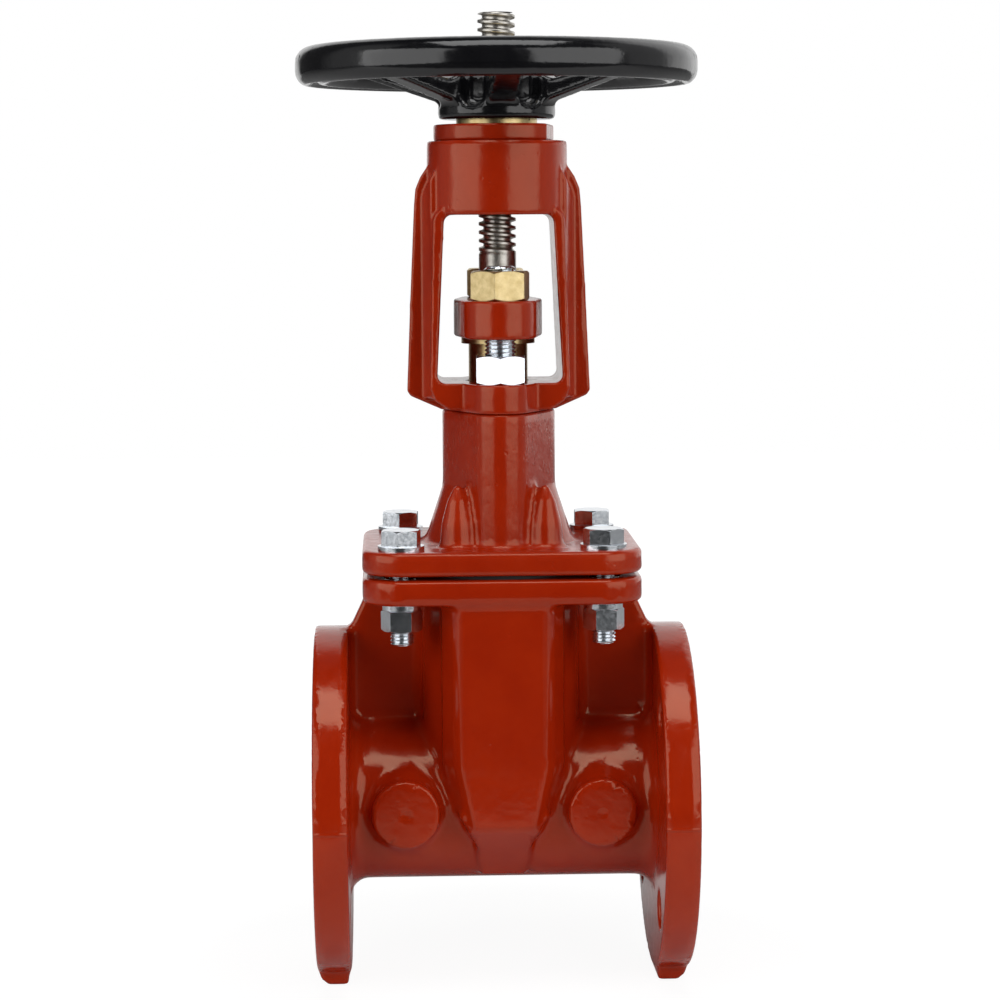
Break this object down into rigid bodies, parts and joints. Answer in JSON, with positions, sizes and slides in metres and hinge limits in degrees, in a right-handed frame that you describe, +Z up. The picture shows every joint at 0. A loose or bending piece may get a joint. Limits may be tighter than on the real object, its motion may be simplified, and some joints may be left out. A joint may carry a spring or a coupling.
{
  "type": "flanged gate valve",
  "caption": "Rising-stem wedge gate valve with outside screw and yoke, flanged pipe ends, bolted bonnet, gland and a handwheel that lifts the wedge.",
  "frame": {"origin": "on the floor under the stem axis, at the centre of the bounding box's base", "axes": "+X along the pipe, +Z up the stem, -Y is the front with the plain panel in the picture"},
  "size_m": [0.203, 0.203, 0.4932],
  "materials": {
    "body_paint": "gloss",
    "red_paint": "gloss",
    "black_paint": "gloss",
    "zinc_plate": "satin",
    "stainless_steel": "satin",
    "brass": "satin",
    "rubber": "matte"
  },
  "bodies": {
    "valve": {"body": "body_paint", "left_flange": "body_paint", "right_flange": "body_paint", "left_web": "body_paint", "right_web": "body_paint", "body_flange": "body_paint", "bonnet": "red_paint", "bonnet_gasket": "rubber", "bonnet_bolt_1": "zinc_plate", "bonnet_bolt_2": "zinc_plate", "bonnet_bolt_3": "zinc_plate", "bonnet_bolt_4": "zinc_plate", "bolt_washer_1": "zinc_plate", "bolt_washer_2": "zinc_plate", "bolt_washer_3": "zinc_plate", "bolt_washer_4": "zinc_plate", "nut_washer_1": "zinc_plate", "nut_washer_2": "zinc_plate", "nut_washer_3": "zinc_plate", "nut_washer_4": "zinc_plate", "bonnet_nut_1": "zinc_plate", "bonnet_nut_2": "zinc_plate", "bonnet_nut_3": "zinc_plate", "bonnet_nut_4": "zinc_plate", "yoke": "red_paint", "gland_flange": "red_paint", "gland_follower": "brass", "gland_packing": "rubber", "gland_stud_front": "zinc_plate", "gland_stud_back": "zinc_plate", "stud_nut_front": "zinc_plate", "stud_nut_back": "zinc_plate", "gland_nut_front": "brass", "gland_nut_back": "brass", "yoke_cap": "red_paint"},
    "wheel": {"handwheel": "black_paint", "wheel_nut": "brass", "stem_nut": "brass"},
    "rising_stem": {"stem": "stainless_steel", "wedge": "rubber", "wedge_nut": "brass"}
  },
  "joints": [
    {"name": "wheel_turn", "type": "hinge", "parent": "valve", "child": "wheel", "pos_m": [0, 0, 0.45], "axis": [0, 0, 1], "range_deg": [0, 5760]},
    {"name": "stem_rise", "type": "slide", "parent": "valve", "child": "rising_stem", "axis": [0, 0, 1], "range_m": [0, 0.06775]}
  ],
  "couplings": [
    {"joint": "stem_rise", "follows": "wheel_turn", "m_per_rad": 0.0006737}
  ]
}
